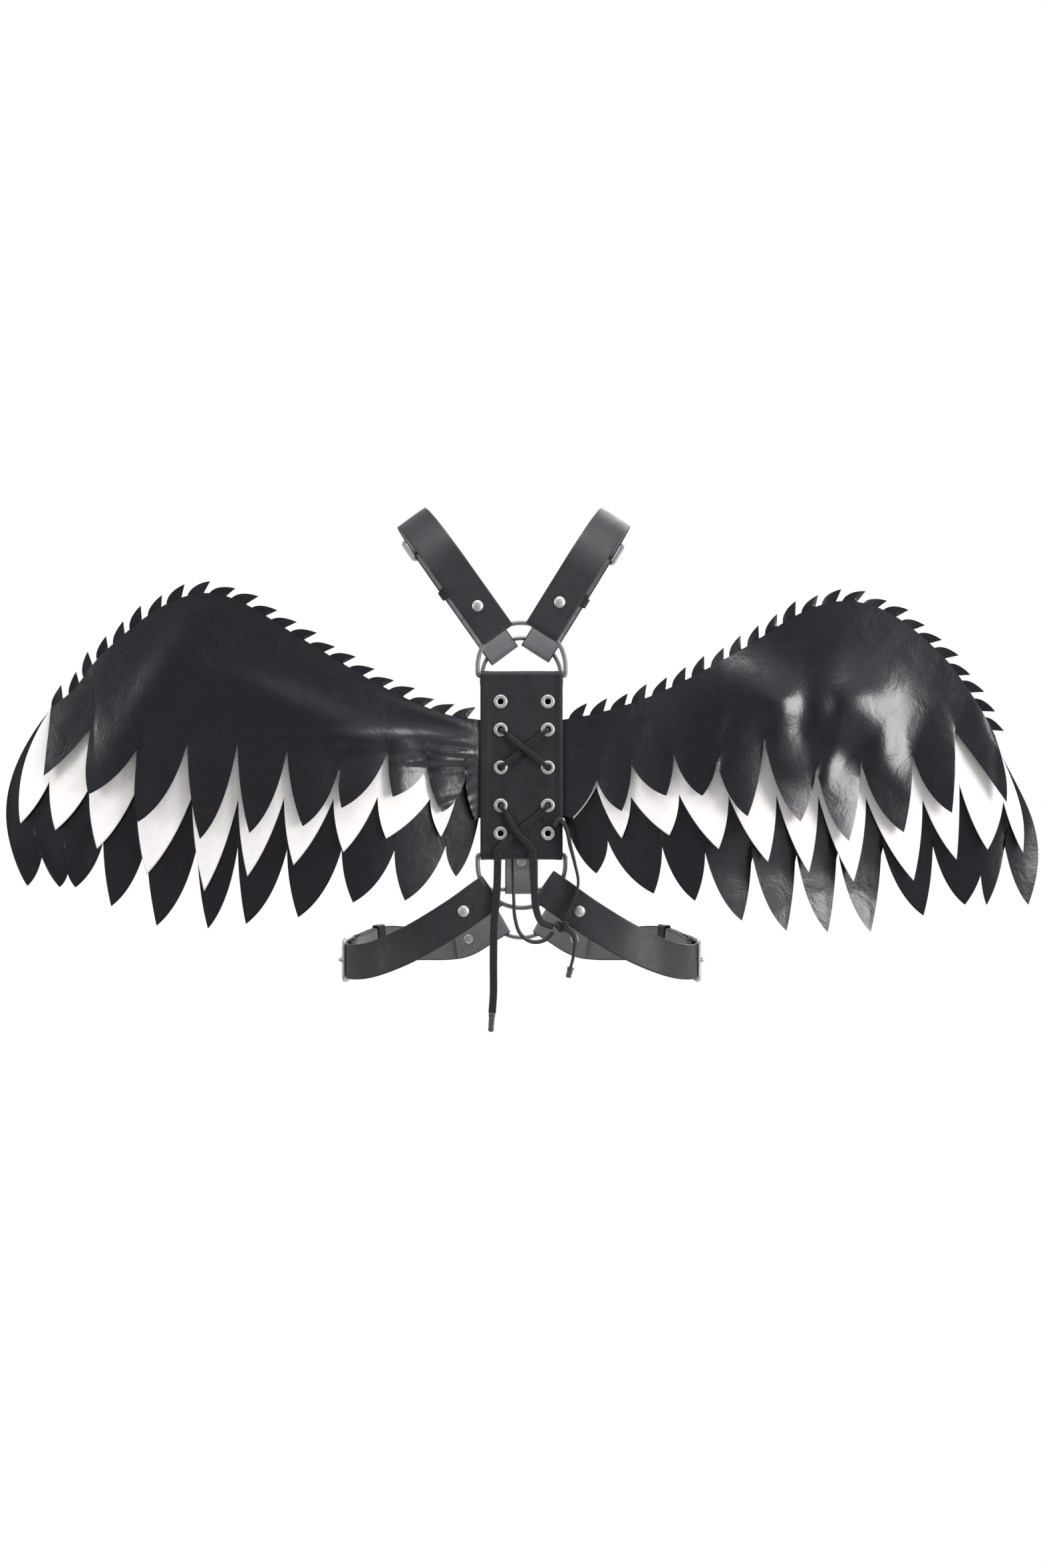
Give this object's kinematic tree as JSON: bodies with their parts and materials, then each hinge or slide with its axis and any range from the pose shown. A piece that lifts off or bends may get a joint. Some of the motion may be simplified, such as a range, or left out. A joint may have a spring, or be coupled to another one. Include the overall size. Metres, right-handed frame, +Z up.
{
  "type": "wing harness",
  "caption": "Laced leather back panel on ring-mounted shoulder and waist straps, carrying a pair of layered feather wings with a spiked leading edge.",
  "frame": {"origin": "centre of the back panel's inner face, where it lies on the wearer's back", "axes": "+X to the wearer's right, +Y from the panel to the chest, +Z up"},
  "size_m": [0.938, 0.2441, 0.4897],
  "materials": {
    "panel_leather": "matte",
    "strap_leather": "satin",
    "wing_leather": "gloss",
    "white_leather": "satin",
    "nickel": "satin",
    "lace_cord": "matte"
  },
  "bodies": {
    "root": {"aglet_left": "lace_cord", "aglet_right": "lace_cord", "back_panel": "panel_leather", "buckle_shoulder_left": "nickel", "buckle_shoulder_right": "nickel", "buckle_waist_left": "nickel", "buckle_waist_right": "nickel", "eyelet_left_1": "nickel", "eyelet_left_2": "nickel", "eyelet_left_3": "nickel", "eyelet_left_4": "nickel", "eyelet_left_5": "nickel", "eyelet_right_1": "nickel", "eyelet_right_2": "nickel", "eyelet_right_3": "nickel", "eyelet_right_4": "nickel", "eyelet_right_5": "nickel", "front_strap": "strap_leather", "keeper_shoulder_left": "strap_leather", "keeper_shoulder_right": "strap_leather", "keeper_waist_left": "strap_leather", "keeper_waist_right": "strap_leather", "lace_knot": "lace_cord", "lace_loop_left": "lace_cord", "lace_loop_right": "lace_cord", "lace_strand_right": "lace_cord", "lace_tail_left": "lace_cord", "lace_tail_right": "lace_cord", "lacing": "lace_cord", "ring_back_bottom": "nickel", "ring_back_top": "nickel", "ring_chest": "nickel", "ring_front_waist": "nickel", "rivet_front_strap_high": "nickel", "rivet_front_strap_low": "nickel", "rivet_shoulder_left_back": "nickel", "rivet_shoulder_left_front": "nickel", "rivet_shoulder_right_back": "nickel", "rivet_shoulder_right_front": "nickel", "rivet_waist_left_back": "nickel", "rivet_waist_left_front": "nickel", "rivet_waist_right_back": "nickel", "rivet_waist_right_front": "nickel", "shoulder_left_back": "strap_leather", "shoulder_left_front": "strap_leather", "shoulder_right_back": "strap_leather", "shoulder_right_front": "strap_leather", "waist_left_back": "strap_leather", "waist_left_front": "strap_leather", "waist_right_back": "strap_leather", "waist_right_front": "strap_leather", "wing_left_covert": "wing_leather", "wing_left_flight": "wing_leather", "wing_left_spikes": "wing_leather", "wing_left_white": "white_leather", "wing_right_covert": "wing_leather", "wing_right_flight": "wing_leather", "wing_right_spikes": "wing_leather", "wing_right_white": "white_leather"}
  },
  "joints": []
}
